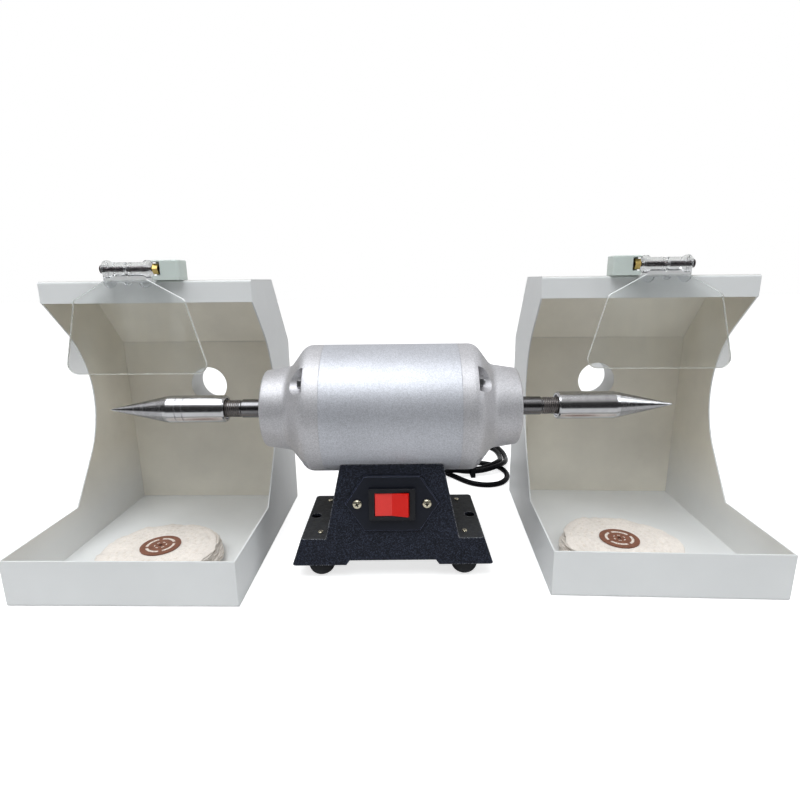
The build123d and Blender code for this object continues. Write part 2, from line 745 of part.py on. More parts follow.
LEAD = [
    (-20.0, 105.0, 46.0),
    (-20.0, 122.0, 34.0),
    (-20.0, 138.0, 20.0),
    (-20.0, 152.0, 9.5),
    (-20.0, 167.0, 4.0),
    (-19.0, 183.0, 3.0),
    (-10.5, 197.5, 3.0),
    (4.0, 207.0, 3.0),
    (21.0, 208.0, 3.0),
    (37.0, 200.5, 3.0),
    (50.0, 187.5, 3.0),
]
LOOP_A = [(50, 187.5), (80, 154), (104, 131), (122, 142), (133, 178), (114, 208), (62, 217), (4, 219)]
LOOP_B = [
    (-20, 212), (-46, 196), (-50, 164), (-36, 138), (-8, 128), (22, 142), (56, 174), (104, 176),
    (128, 200), (139, 240), (131, 282), (106, 294), (64, 268), (20, 238),
]
TAIL = [(122, 290), (101, 293), (76, 285), (42, 275)]


def cord_gland():
    """Strain relief at the back of the base: a flange and a long tapering boot."""
    wall = wall_plane(GLAND_X, GLAND_Z, 1)
    with BuildPart() as gland:
        with BuildSketch(wall):
            Circle(8.0)
        extrude(amount=2.0)
        with BuildSketch(wall):
            Circle(6.0)
        extrude(amount=-BASE_WALL)
        with BuildSketch(wall.offset(-BASE_WALL)):
            Circle(7.2)
        extrude(amount=-2.0)
        with BuildSketch(wall.offset(2.0)):
            Circle(6.5)
        with BuildSketch(wall.offset(GLAND_L)):
            Circle(CORD_R + 1.0)
        loft()
    save(gland, "cord_gland")
    return [tuple(wall.offset(along).origin) for along in (GLAND_L, GLAND_L + 19.0)]


def bend_radii(points):
    """The largest round that each corner of a route has room for."""
    radii = []
    for before, at, after in zip(points, points[1:], points[2:]):
        run_in = Vector(at) - Vector(before)
        run_out = Vector(after) - Vector(at)
        half_turn = math.radians(run_in.get_angle(run_out)) / 2
        radii.append(0.45 * min(run_in.length, run_out.length) / math.tan(half_turn))
    return radii


def cord_lead(exit_run):
    """The lead hangs from its gland to the bench and turns round towards the hank."""
    route = exit_run + LEAD
    radii = bend_radii(route)
    with BuildPart() as lead:
        with BuildLine() as path:
            FilletPolyline(*route, radius=radii)
        with BuildSketch(path.line ^ 0):
            Circle(CORD_R)
        sweep()
    save(lead, "cord_lead")
    print("lead radii", [round(r, 1) for r in radii])
    length = path.wire().length
    print("lead length", round(length, 1))
    print("lead volume ratio", round(lead.part.volume / (math.pi * CORD_R**2 * length), 4))


def cord_hank():
    """Tied hank on the bench: loose loops of the lead, pinched where the tie holds them."""
    with BuildPart() as tie:
        with BuildSketch(Plane(origin=(TIE_X, 174.0, 7.0), x_dir=(0, 1, 0), z_dir=(1, 0, 0))):
            RectangleRounded(22.0, 14.0, 3.0)
            RectangleRounded(19.4, 11.4, 2.0, mode=Mode.SUBTRACT)
        extrude(amount=5.0)
    save(tie, "cord_tie")
    with BuildPart() as hank:
        with BuildSketch(Plane.XY):
            for route, width in ((LOOP_A, 8.0), (TAIL, 7.0)):
                with BuildLine():
                    FilletPolyline(*route, radius=bend_radii(route))
                trace(line_width=width)
            ring = [*LOOP_B[-1:], *LOOP_B, *LOOP_B[:1]]
            with BuildLine():
                FilletPolyline(*LOOP_B, radius=bend_radii(ring), close=True)
            trace(line_width=14.0)
        extrude(amount=HANK_H)
        add(tie.part, mode=Mode.SUBTRACT)
    save(hank, "cord_hank")


def plug():
    """Moulded two-pin plug on the end of the lead, lying flat on the bench."""
    direction = (Vector(*TAIL[-1]) - Vector(*TAIL[-2])).normalized()
    rear = Plane(origin=Vector(*TAIL[-1], 7.0), x_dir=(direction.Y, -direction.X, 0), z_dir=direction)
    with BuildPart() as body:
        for along, width, height in ((0, 9.0, 9.0), (16, 15.0, 13.0), (36, 25.0, 13.6)):
            with BuildSketch(rear.offset(along)):
                RectangleRounded(width, height, 4.0)
        loft()
    save(body, "plug")
    with BuildPart() as pins:
        with BuildSketch(rear.offset(36)):
            with GridLocations(18.6, 0, 2, 1):
                Circle(2.0)
        extrude(amount=19.0)
    save(pins, "plug_pins")


stator_tube()
end_bell(-1, "left_end_bell", BEARING_X[1])
end_bell(1, "right_end_bell", BEARING_X[1] + WAVE_WASHER)
stator_core()
stator_windings()
tie_bolts()
bearings()
shaft()
rotor_cage()
arbor(-1, "left_arbor", (164.8, 170.6))
arbor(1, "right_arbor", ())
base_housing()
bottom_plate()
feet()
saddle_screws()
capacitor()
switch()
for hood_name in HOODS:
    hood(hood_name)
cord_lead(cord_gland())
cord_hank()
plug()
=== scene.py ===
import math
import random
import bmesh
import bpy
from mathutils import Matrix, Vector, noise


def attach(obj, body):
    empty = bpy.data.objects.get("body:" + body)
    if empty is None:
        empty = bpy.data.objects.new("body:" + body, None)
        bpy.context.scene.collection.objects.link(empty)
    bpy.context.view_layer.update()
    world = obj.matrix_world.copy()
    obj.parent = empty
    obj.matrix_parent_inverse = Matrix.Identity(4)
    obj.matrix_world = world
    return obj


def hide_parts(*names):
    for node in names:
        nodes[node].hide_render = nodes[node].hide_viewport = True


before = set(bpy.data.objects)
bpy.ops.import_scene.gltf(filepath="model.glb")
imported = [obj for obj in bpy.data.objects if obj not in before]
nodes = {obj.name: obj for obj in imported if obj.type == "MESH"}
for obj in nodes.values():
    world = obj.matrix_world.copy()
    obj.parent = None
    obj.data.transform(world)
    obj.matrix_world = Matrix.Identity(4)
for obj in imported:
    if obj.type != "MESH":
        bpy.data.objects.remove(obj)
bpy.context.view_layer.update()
scene = bpy.context.scene
MM = 0.001
SIDES = ("left", "right")

# The object's own measures, in millimetres, as the solids have them
AXIS_Z = 129.0
SHAFT_R = 6.5
CONE_X, CONE_R = 178.5, 11.0
TIP_X, TIP_R = 226.1, 0.6
FRONT_Y, FRONT_Z = -42.5, 12.9
FRONT_LEAN = 6.5 / 80.6
PANEL_SCREW_X, PANEL_SCREW_Z = 26.5, 63.0
PANEL_THICK = 2.0
FOOT_SCREW_X, FOOT_SCREW_Y, FOOT_SCREW_Z = 57, 29.5, 34.4
BUFF_MIDDLES = {"left": (-190.0, -21.0), "right": (186.5, -17.2)}
BUFF_R = 47.5
BUFF_Z = 1.2
BUFF_THICK = 18.0


# Camera, at the photograph's viewing angle

EYE = (6.858, -396.771, 228.163)
PITCH = 0.2315
ROLL = -0.0104
SENSOR = 36.0
FOCAL_LENGTH = 22.774


def make_camera():
    """The camera that fits the photograph, with its eye in millimetres and its angles in radians."""
    up = Vector((0, math.sin(PITCH), math.cos(PITCH)))
    ahead = Vector((0, math.cos(PITCH), -math.sin(PITCH)))
    across = Vector((1, 0, 0))
    right = across * math.cos(ROLL) + up * math.sin(ROLL)
    above = up * math.cos(ROLL) - across * math.sin(ROLL)
    lens = bpy.data.cameras.new("camera")
    lens.sensor_width = SENSOR
    lens.lens = FOCAL_LENGTH
    lens.clip_start = 0.01
    camera = bpy.data.objects.new("camera", lens)
    turn = Matrix((right, above, -ahead)).transposed().to_4x4()
    camera.matrix_world = Matrix.Translation(Vector(EYE) * MM) @ turn
    scene.collection.objects.link(camera)
    scene.camera = camera


# Mesh helpers

def place(name, mesh, finish, body):
    """Put a finished mesh or curve on a body, with its material."""
    piece = bpy.data.objects.new(name, mesh)
    scene.collection.objects.link(piece)
    mesh.materials.append(finish)
    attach(piece, body)
    return piece


def mesh_of(name, points, faces, smooth=True):
    """Mesh from points in millimetres."""
    mesh = bpy.data.meshes.new(name)
    mesh.from_pydata([[c * MM for c in p] for p in points], [], faces)
    work = bmesh.new()
    work.from_mesh(mesh)
    bmesh.ops.recalc_face_normals(work, faces=work.faces)
    work.to_mesh(mesh)
    work.free()
    if smooth:
        mesh.shade_smooth()
    return mesh


# Shader helpers

NOISE_LOW, NOISE_HIGH = 0.3, 0.7


def srgb(r, g, b):
    """Linear colour from 0 to 255 values."""
    return tuple(((c / 255 + 0.055) / 1.055) ** 2.4 for c in (r, g, b)) + (1.0,)


def tint(color, share):
    """A colour made lighter or darker by a share."""
    return tuple(min(1.0, c * share) for c in color[:3]) + (1.0,)


def new_node(tree, kind, **inputs):
    """A node with some inputs set; an underscore stands for the space in a socket's name."""
    node = tree.nodes.new(kind)
    for socket, value in inputs.items():
        node.inputs[socket.replace("_", " ")].default_value = value
    return node


def color_ramp(tree, source, stops):
    """Colours or grey levels by a value; each stop is a position and what is there."""
    node = new_node(tree, "ShaderNodeValToRGB")
    elements = node.color_ramp.elements
    while len(elements) < len(stops):
        elements.new(0.5)
    for element, (at, value) in zip(elements, stops):
        element.position = at
        element.color = value if isinstance(value, tuple) else (value, value, value, 1.0)
    tree.links.new(source, node.inputs["Fac"])
    return node.outputs["Color"]


class Finish:
    """A procedural material, patterned in the object's own metres."""

    def __init__(self, name, color, roughness, metallic=0.0, **sockets):
        self.material = bpy.data.materials.new(name)
        self.material.use_nodes = True
        self.tree = self.material.node_tree
        self.bsdf = self.tree.nodes["Principled BSDF"]
        self.bsdf.inputs["Base Color"].default_value = color
        self.bsdf.inputs["Roughness"].default_value = roughness
        self.bsdf.inputs["Metallic"].default_value = metallic
        for socket, value in sockets.items():
            self.bsdf.inputs[socket.replace("_", " ")].default_value = value
        coordinates = self.add("ShaderNodeTexCoord")
        self.where = coordinates.outputs["Object"]
        self.facing = coordinates.outputs["Normal"]
        self.normal = None

    def add(self, kind, **inputs):
        return new_node(self.tree, kind, **inputs)

    def link(self, source, target):
        self.tree.links.new(source, target)

    def plug(self, socket, source):
        self.link(source, self.bsdf.inputs[socket])

    def feed(self, node, sources):
        """Link sockets to a node's numbered inputs, and set plain values on them."""
        for number, source in sources.items():
            if isinstance(source, bpy.types.NodeSocket):
                self.link(source, node.inputs[number])
            else:
                node.inputs[number].default_value = source

    def stretched(self, scale):
        node = self.add("ShaderNodeMapping", Scale=scale)
        self.link(self.where, node.inputs["Vector"])
        return node.outputs["Vector"]

    def noise(self, scale, detail=3.0, rough=0.55, stretch=None):
        node = self.add("ShaderNodeTexNoise", Scale=scale, Detail=detail, Roughness=rough)
        self.link(self.stretched(stretch) if stretch else self.where, node.inputs["Vector"])
        return node.outputs[0]

    def flakes(self, scale):
        """Three chance values for each of many small cells."""
        cells = self.add("ShaderNodeTexVoronoi", Scale=scale)
        self.link(self.where, cells.inputs["Vector"])
        node = self.add("ShaderNodeSeparateColor")
        self.link(cells.outputs["Color"], node.inputs["Color"])
        return node.outputs

    def axes(self, source):
        """The X, Y and Z of a vector."""
        node = self.add("ShaderNodeSeparateXYZ")
        self.link(source, node.inputs[0])
        return node.outputs

    def dot(self, first, second):
        node = self.add("ShaderNodeVectorMath")
        node.operation = "DOT_PRODUCT"
        self.feed(node, {0: first, 1: second})
        return node.outputs["Value"]

    def ramp(self, source, *stops):
        return color_ramp(self.tree, source, stops)

    def vary(self, source, low, high):
        """A colour or level that goes from low to high over the usual span of a noise."""
        return self.ramp(source, (NOISE_LOW, low), (NOISE_HIGH, high))

    def mix(self, factor, first, second, mode="MIX"):
        node = self.add("ShaderNodeMix")
        node.data_type = "RGBA"
        node.blend_type = mode
        self.feed(node, {0: factor, 6: first, 7: second})
        return node.outputs[2]

    def math(self, operation, first, second=0.0, third=0.0):
        node = self.add("ShaderNodeMath")
        node.operation = operation
        self.feed(node, {0: first, 1: second, 2: third})
        return node.outputs[0]

    def times(self, first, second):
        return self.math("MULTIPLY", first, second)

    def blend(self, factor, first, second):
        """Show one shader where factor is 0 and another where it is 1."""
        both = self.add("ShaderNodeMixShader")
        self.feed(both, {0: factor, 1: first.outputs[0], 2: second.outputs[0]})
        self.link(both.outputs[0], self.tree.nodes["Material Output"].inputs["Surface"])

    def bump(self, height, depth, strength=1.0):
        """Raise the surface by up to depth metres where height is 1."""
        node = self.add("ShaderNodeBump", Strength=strength, Distance=depth)
        self.link(height, node.inputs["Height"])
        if self.normal:
            self.link(self.normal, node.inputs["Normal"])
        self.normal = node.outputs["Normal"]
        self.plug("Normal", self.normal)

    def soft_edges(self, radius):
        """Round the look of sharp edges, and return a mask that is 1 on them."""
        node = self.add("ShaderNodeBevel", Radius=radius)
        node.samples = 4
        self.normal = node.outputs["Normal"]
        self.plug("Normal", self.normal)
        flat = self.add("ShaderNodeNewGeometry").outputs["Normal"]
        return self.ramp(self.dot(self.normal, flat), (0.80, 1.0), (0.97, 0.0))


# Materials

HOOD_GREY = (0.765, 0.77, 0.765, 1.0)
# Warm tint painted on inward-facing hood faces: painted bounce light in their shaded inside, thinner
# low by the tray.
WARM_BOUNCE_TINT = (0.87, 0.83, 0.735, 1.0)
# Darker greys painted on the canopy's up-facing faces: painted shade against the overhead light.
TOP_SHADE_GREYS = ((0.50, 0.49, 0.465, 1.0), (0.60, 0.59, 0.565, 1.0))
BOUNCE_THIN_Z, BOUNCE_FULL_Z = 0.02, 0.075


def hood_paint(name, inside=None, top_shaded=False, rising=False):
    """Pale grey paint, with painted warm bounce light on faces that look along inside and, where
    asked, painted shade on up-facing faces.

    With rising set, the painted bounce light is thin beside the tray and full above it.
    """
    f = Finish(name, HOOD_GREY, roughness=0.42)
    edge = f.soft_edges(0.0006)
    color = f.vary(f.noise(14), tint(HOOD_GREY, 0.97), tint(HOOD_GREY, 1.03))
    if inside:
        # Inward-facing faces take a warm tint: painted bounce light, thinner low down where rising is
        # set.
        warm_bounce = f.vary(f.noise(22, 4), tint(WARM_BOUNCE_TINT, 0.94), tint(WARM_BOUNCE_TINT, 1.05))
        cover = f.ramp(f.dot(f.facing, inside), (0.3, 0.0), (0.5, 1.0))
        if rising:
            height = f.axes(f.where)["Z"]
            cover = f.times(cover, f.ramp(height, (BOUNCE_THIN_Z, 0.1), (BOUNCE_FULL_Z, 1.0)))
        color = f.mix(cover, color, warm_bounce)
    if top_shaded:
        # Up-facing faces turn darker grey: painted shade.
        upward = f.ramp(f.axes(f.facing)["Z"], (0.5, 0.0), (0.95, 1.0))
        color = f.mix(upward, color, f.vary(f.noise(30, 5), *TOP_SHADE_GREYS))
    # Edges lighter than the sheet: a painted highlight.
    f.plug("Base Color", f.mix(edge, color, tint(HOOD_GREY, 1.06)))
    f.plug("Roughness", f.vary(f.noise(120, 2), 0.38, 0.48))
    f.bump(f.noise(1300, 2), 0.00003, 0.5)
    return f.material


def motor_paint(name, base):
    """Silver paint with a fine sparkle."""
    f = Finish(name, base, roughness=0.5, metallic=0.62)
    flake = f.flakes(1900)
    tone = f.vary(f.noise(30), tint(base, 0.95), tint(base, 1.04))
    bright = f.ramp(flake[0], (0.0, 0.76), (1.0, 1.05))
    f.plug("Base Color", f.mix(1.0, tone, bright, "MULTIPLY"))
    f.plug("Roughness", f.ramp(flake[1], (0.0, 0.45), (1.0, 0.55)))
    f.soft_edges(0.0008)
    f.bump(f.noise(800), 0.00007, 0.6)
    return f.material


def base_paint():
    """Blue-black hammered paint with a fine pale speckle, a dotted painted highlight along its edges,
    and patchy lighter grey on up-facing faces for dust and painted light.
    """
    base = (0.0062, 0.0074, 0.0125, 1.0)
    speckle = (0.036, 0.043, 0.068, 1.0)
    dust_and_sheen = (0.040, 0.040, 0.037, 1.0)
    bare = (0.36, 0.37, 0.40, 1.0)
    f = Finish("base_black", base, roughness=0.6, Specular_IOR_Level=0.18)
    edge = f.soft_edges(0.0013)
    flake = f.flakes(1800)
    ground = f.vary(f.noise(60, 4), tint(base, 0.8), tint(base, 1.4))
    color = f.mix(f.ramp(flake[0], (0.5, 0.0), (1.0, 1.0)), ground, speckle)
    # Up-facing faces lighter grey in patches: dust, and painted light from above.
    upward = f.ramp(f.axes(f.facing)["Z"], (0.7, 0.0), (0.95, 0.8))
    color = f.mix(f.times(upward, f.vary(f.noise(500), 0.5, 1.0)), color, dust_and_sheen)
    # Pale grey in dots along the edges: a painted highlight.
    dotted_edge_glint = f.times(edge, f.ramp(flake[1], (0.35, 0.1), (0.7, 1.0)))
    f.plug("Base Color", f.mix(dotted_edge_glint, color, bare))
    f.plug("Roughness", f.vary(f.noise(300), 0.52, 0.7))
    f.bump(f.noise(800, 4), 0.00020, 0.6)
    return f.material


def turned_metal(name, color, roughness, lines, depth):
    """Bright metal with the fine rings that a lathe leaves round the spindle's axis."""
    f = Finish(name, color, roughness, metallic=1.0)
    f.soft_edges(0.0003)
    rings = f.noise(lines, 3, 0.6, stretch=(1.0, 0.004, 0.004))
    f.plug("Base Color", f.ramp(f.noise(160, 4), (0.3, tint(color, 0.86)), (0.65, color)))
    f.plug("Roughness", f.ramp(rings, (0.25, roughness * 0.75), (0.75, roughness * 1.35)))
    f.bump(rings, depth, 0.6)
    return f.material


def plain(name, color, roughness, metallic=0.0, grain=600, depth=0.00003, spread=0.12,
          edge_highlight=None, **sockets):
    """Moulded, plated or rubbery surface: fine grain, slightly uneven tone and maybe a painted
    highlight on its edges.
    """
    f = Finish(name, color, roughness, metallic, **sockets)
    edge = f.soft_edges(0.0005)
    tone = f.vary(f.noise(45, 4), tint(color, 1 - spread), tint(color, 1 + spread))
    # Where asked, edges are painted lighter: a painted highlight.
    f.plug("Base Color", f.mix(edge, tone, tint(color, edge_highlight)) if edge_highlight else tone)
    f.plug("Roughness", f.vary(f.noise(grain / 3), roughness * 0.85, roughness * 1.2))
    f.bump(f.noise(grain), depth, 0.5)
    return f.material


def rocker_red():
    """Red in two tones: the left half painted lighter, as painted light, and the right half deeper
    red, as painted shade.
    """
    lit_red = (0.80, 0.048, 0.040, 1.0)
    shaded_red = (0.72, 0.010, 0.005, 1.0)
    f = Finish("rocker_red", (0.74, 0.03, 0.02, 1.0), roughness=0.3, Specular_IOR_Level=0.25)
    f.soft_edges(0.0006)
    across = f.math("MULTIPLY_ADD", f.axes(f.where)["X"], 40.0, 0.5)
    # Lighter left half and deeper right half: painted light and painted shade.
    tone = f.mix(f.ramp(across, (0.495, 0.0), (0.505, 1.0)), lit_red, shaded_red)
    f.plug("Base Color", f.mix(1.0, tone, f.vary(f.noise(700), 0.96, 1.0), "MULTIPLY"))
    f.bump(f.noise(1300, 2), 0.00001, 0.4)
    return f.material


def clear_plastic():
    """Clear sheet whose frosted cut edges glow white, a painted highlight, most where they face up; a
    faint dusty haze glows with them.
    """
    f = Finish("clear", (0.98, 0.99, 0.985, 1.0), roughness=0.02, IOR=1.3, Transmission_Weight=1.0)
    f.plug("Roughness", f.ramp(f.noise(260, 5, 0.7), (0.45, 0.01), (0.75, 0.08)))
    band = f.soft_edges(0.0013)
    f.bump(f.noise(9, 2), 0.00012, 0.25)
    # Frosted white that glows: a painted highlight on the cut edges, and on the haze.
    glowing_frost = f.add(
        "ShaderNodeBsdfPrincipled", Base_Color=(0.95, 0.97, 0.96, 1.0), Roughness=0.35,
        Transmission_Weight=0.25, Emission_Color=(0.9, 0.95, 0.95, 1.0), Emission_Strength=0.2,
    )
    facing = f.axes(f.facing)
    cut = f.ramp(f.math("ABSOLUTE", facing["Y"]), (0.35, 1.0), (0.6, 0.0))
    # Cut edges facing up get the most glow: painted highlight.
    rim = f.times(cut, f.ramp(facing["Z"], (0.25, 0.38), (0.55, 1.0)))
    edge_glow = f.times(band, f.ramp(f.noise(300), (0.3, 0.15), (0.6, 0.42)))
    dust_and_sheen = f.ramp(f.noise(60, 4, 0.6, stretch=(1.0, 1.0, 0.3)), (0.45, 0.0), (0.75, 0.04))
    f.blend(f.math("MAXIMUM", f.math("MAXIMUM", rim, edge_glow), dust_and_sheen), f.bsdf, glowing_frost)
    return f.material


def moulded_clear():
    """The thick clear mouldings of the shield's hinge, milky white along their edges: a painted
    highlight.
    """
    f = Finish(
        "clear_moulding", (0.96, 0.97, 0.98, 1.0), roughness=0.05, IOR=1.2, Transmission_Weight=1.0,
    )
    edge = f.soft_edges(0.0008)
    f.plug("Roughness", f.ramp(f.noise(500, 4), (0.4, 0.02), (0.8, 0.12)))
    f.bump(f.noise(180), 0.00008, 0.4)
    milky_edge_highlight = f.add(
        "ShaderNodeBsdfPrincipled", Base_Color=(0.86, 0.88, 0.90, 1.0), Roughness=0.16,
        Transmission_Weight=0.55, IOR=1.45,
    )
    f.link(f.normal, milky_edge_highlight.inputs["Normal"])
    # Milky white on the edges: a painted highlight.
    f.blend(f.ramp(edge, (0.0, 0.05), (1.0, 0.95)), f.bsdf, milky_edge_highlight)
    return f.material


def pale_block():
    """Glossy pale green moulding with a trace of cloud in it, and a painted highlight along its
    edges.
    """
    tone = (0.72, 0.79, 0.745, 1.0)
    f = Finish("block_pale", tone, roughness=0.22, IOR=1.49, Transmission_Weight=0.2)
    edge = f.soft_edges(0.0010)
    body = f.vary(f.noise(50, 2), tint(tone, 0.97), tint(tone, 1.03))
    # Edges painted lighter: a painted highlight.
    f.plug("Base Color", f.mix(edge, body, tint(tone, 1.15)))
    f.plug("Roughness", f.vary(f.noise(200, 2), 0.18, 0.27))
    f.bump(f.noise(300, 2), 0.00002, 0.3)
    return f.material


def muslin():
    """Woven cotton, darker brown where the mesh says so: dirt, with painted shade in its creases and
    under its layers, and painted shadow at its stitches.
    """
    base = (0.80, 0.735, 0.675, 1.0)
    soiled_and_shaded = (0.42, 0.31, 0.19, 1.0)
    f = Finish("muslin", base, roughness=0.9, Sheen_Weight=0.25, Sheen_Roughness=0.5)
    warp = f.noise(1900, 1, 0.5, stretch=(1.0, 0.16, 1.0))
    weft = f.noise(1900, 1, 0.5, stretch=(0.16, 1.0, 1.0))
    weave = f.math("MAXIMUM", warp, weft)
    tone = f.vary(f.noise(70, 4), tint(base, 0.93), tint(base, 1.05))
    woven = f.mix(1.0, tone, f.ramp(weave, (0.4, 0.88), (0.62, 1.0)), "MULTIPLY")
    soil_and_shade = f.add("ShaderNodeAttribute")
    soil_and_shade.attribute_name = "soil_and_shade"
    # Darker brown where the mesh attribute says: dirt, and painted shade and shadow.
    f.plug("Base Color", f.mix(f.times(soil_and_shade.outputs["Fac"], 0.36), woven, soiled_and_shaded))
    f.bump(weave, 0.00022, 0.7)
    return f.material


def fibre_disc(name, middle):
    """Pressed brown fibre with a plain broken ring and ticks printed on it."""
    brown = srgb(122, 78, 60)
    ink = (0.78, 0.71, 0.64, 1.0)
    f = Finish(name, brown, roughness=0.62)
    x, y = (c * MM for c in middle)
    shift = f.add("ShaderNodeMapping", Location=(-x, -y, 0.0))
    f.link(f.where, shift.inputs["Vector"])
    at = f.axes(shift.outputs["Vector"])
    square = f.math("ADD", f.times(at["X"], at["X"]), f.times(at["Y"], at["Y"]))
    radius = f.times(f.math("SQRT", square), 60.0)
    angle = f.math("ARCTAN2", at["Y"], at["X"])
    outer = f.ramp(radius, (0.545, 0.0), (0.565, 1.0), (0.665, 1.0), (0.685, 0.0))
    inner = f.ramp(radius, (0.235, 0.0), (0.25, 1.0), (0.285, 1.0), (0.30, 0.0))
    fourths = f.ramp(f.math("SINE", f.times(angle, 4.0)), (0.0, 1.0), (0.80, 1.0), (0.90, 0.0))
    sixths = f.ramp(f.math("SINE", f.times(angle, 6.0)), (0.0, 0.0), (0.12, 1.0))
    marks = f.math("MAXIMUM", f.times(outer, fourths), f.times(inner, sixths))
    printed = f.times(marks, f.ramp(f.noise(900), (0.36, 0.35), (0.5, 1.0)))
    ground = f.vary(f.noise(420, 5), tint(brown, 0.82), tint(brown, 1.2))
    f.plug("Base Color", f.mix(printed, ground, ink))
    f.bump(f.noise(1500), 0.00006, 0.6)
    return f.material


def laminations():
    """Steel sheets stacked along the spindle."""
    dark, light = (0.13, 0.13, 0.14, 1.0), (0.27, 0.27, 0.28, 1.0)
    f = Finish("lamination", (0.20, 0.20, 0.21, 1.0), roughness=0.45, metallic=0.9)
    stack = f.noise(2000, 1, 0.5, stretch=(1.0, 0.002, 0.002))
    f.plug("Base Color", f.ramp(stack, (0.4, dark), (0.6, light)))
    f.plug("Roughness", f.vary(f.noise(200), 0.38, 0.55))
    f.bump(stack, 0.00012, 0.7)
    return f.material


def windings():
    """Lacquered copper strands."""
    dark, light = (0.26, 0.07, 0.025, 1.0), (0.55, 0.2, 0.075, 1.0)
    f = Finish("copper", (0.42, 0.14, 0.05, 1.0), roughness=0.3, metallic=0.9, Coat_Weight=0.5)
    strand = f.noise(900, 2, 0.5, stretch=(0.25, 1.0, 1.0))
    f.plug("Base Color", f.ramp(strand, (0.35, dark), (0.65, light)))
    f.bump(strand, 0.0004, 0.8)
    return f.material


FINISHES = {
    "hood_white": hood_paint("hood_white"),
    "motor_silver": motor_paint("motor_silver", (0.585, 0.575, 0.595, 1.0)),
    "base_black": base_paint(),
    "arbor_steel": turned_metal("arbor_steel", (0.52, 0.515, 0.525, 1.0), 0.17, 5200, 0.00001),
    "steel": turned_metal("steel", (0.17, 0.165, 0.17, 1.0), 0.22, 3800, 0.00002),
    "rotor_alloy": turned_metal("rotor_alloy", (0.62, 0.63, 0.65, 1.0), 0.4, 1500, 0.00005),
    "screw_nickel": plain(
        "screw_nickel", (0.60, 0.55, 0.42, 1.0), 0.26, metallic=1.0, grain=900,
    ),
    "pin_nickel": plain(
        "pin_nickel", (0.62, 0.60, 0.55, 1.0), 0.22, metallic=1.0, grain=900,
    ),
    "plate_zinc": plain(
        "plate_zinc", (0.48, 0.49, 0.50, 1.0), 0.38, metallic=0.95, grain=250,
    ),
    "nut_brass": plain("nut_brass", (0.40, 0.29, 0.10, 1.0), 0.32, metallic=1.0, grain=900),
    "can_grey": plain("can_grey", (0.30, 0.31, 0.32, 1.0), 0.4, metallic=0.6, grain=300),
    "rubber_black": plain(
        "rubber_black", (0.008, 0.0085, 0.011, 1.0), 0.62, grain=500, depth=0.00008,
        Specular_IOR_Level=0.3,
    ),
    "panel_black": plain(
        "panel_black", (0.0082, 0.0098, 0.0165, 1.0), 0.5, grain=1100, depth=0.00004,
        spread=0.15, edge_highlight=24.0, Specular_IOR_Level=0.2,
    ),
    "switch_black": plain(
        "switch_black", (0.006, 0.0065, 0.009, 1.0), 0.4, grain=1400, depth=0.00002,
        spread=0.1, edge_highlight=3.0, Specular_IOR_Level=0.3,
    ),
    "cord_black": plain(
        "cord_black", (0.0022, 0.0022, 0.003, 1.0), 0.26, grain=300, depth=0.00001,
        Specular_IOR_Level=0.07,
    ),
    "tie_black": plain(
        "tie_black", (0.004, 0.004, 0.005, 1.0), 0.45, grain=900, Specular_IOR_Level=0.1,
    ),
    "plug_black": plain(
        "plug_black", (0.012, 0.012, 0.013, 1.0), 0.42, grain=900, depth=0.00004,
    ),
    "rocker_red": rocker_red(),
    "lamination": laminations(),
    "copper": windings(),
    "clear": clear_plastic(),
    "block_pale": pale_block(),
    "muslin": muslin(),
}
HINGE_CLEAR = moulded_clear()
CONE_STEEL = turned_metal("cone_steel", (0.21, 0.205, 0.21, 1.0), 0.24, 2600, 0.00002)
# Dark brown metal for the screws' cross recesses: painted shade in the recess.
RECESS_SHADE = plain("screw_recess_shade", (0.06, 0.055, 0.045, 1.0), 0.5, metallic=0.6, grain=900)
BOLT_STEEL = turned_metal("bolt_steel", (0.040, 0.026, 0.028, 1.0), 0.34, 1300, 0.0002)
LOOKS_RIGHT = hood_paint("hood_right_facing", inside=(1, 0, 0), rising=True)
LOOKS_LEFT = hood_paint("hood_left_facing", inside=(-1, 0, 0), rising=True)

# Nodes whose look differs from that of their slot
NODE_FINISHES = {
    "stator_tube": motor_paint("tube_silver", (0.575, 0.583, 0.625, 1.0)),
    "tie_bolts": plain("bolt_zinc", (0.30, 0.30, 0.31, 1.0), 0.34, metallic=1.0, grain=900),
    "left_inner_cheek": LOOKS_LEFT,
    "right_outer_cheek": LOOKS_LEFT,
    "left_outer_cheek": LOOKS_RIGHT,
    "right_inner_cheek": LOOKS_RIGHT,
}
for side in SIDES:
    NODE_FINISHES[f"{side}_back"] = hood_paint(f"{side}_hood_back", inside=(0, -1, 0))
    NODE_FINISHES[f"{side}_canopy"] = hood_paint(
        f"{side}_hood_canopy", inside=(0, 0, -1), top_shaded=True,
    )
    NODE_FINISHES[f"{side}_shield_hinge"] = HINGE_CLEAR
    NODE_FINISHES[f"{side}_hinge_bolt"] = BOLT_STEEL
    NODE_FINISHES[f"{side}_buff_disc"] = fibre_disc(f"disc_brown_{side}", BUFF_MIDDLES[side])


def dress_nodes():
    """Give every CAD node its own look, or that of its slot."""
    for name, node in nodes.items():
        slot = node.material_slots[0]
        slot.material = NODE_FINISHES.get(name) or FINISHES[slot.material.name]


# Mains lead: out of the gland, down to the bench, and round the tied hank to its plug

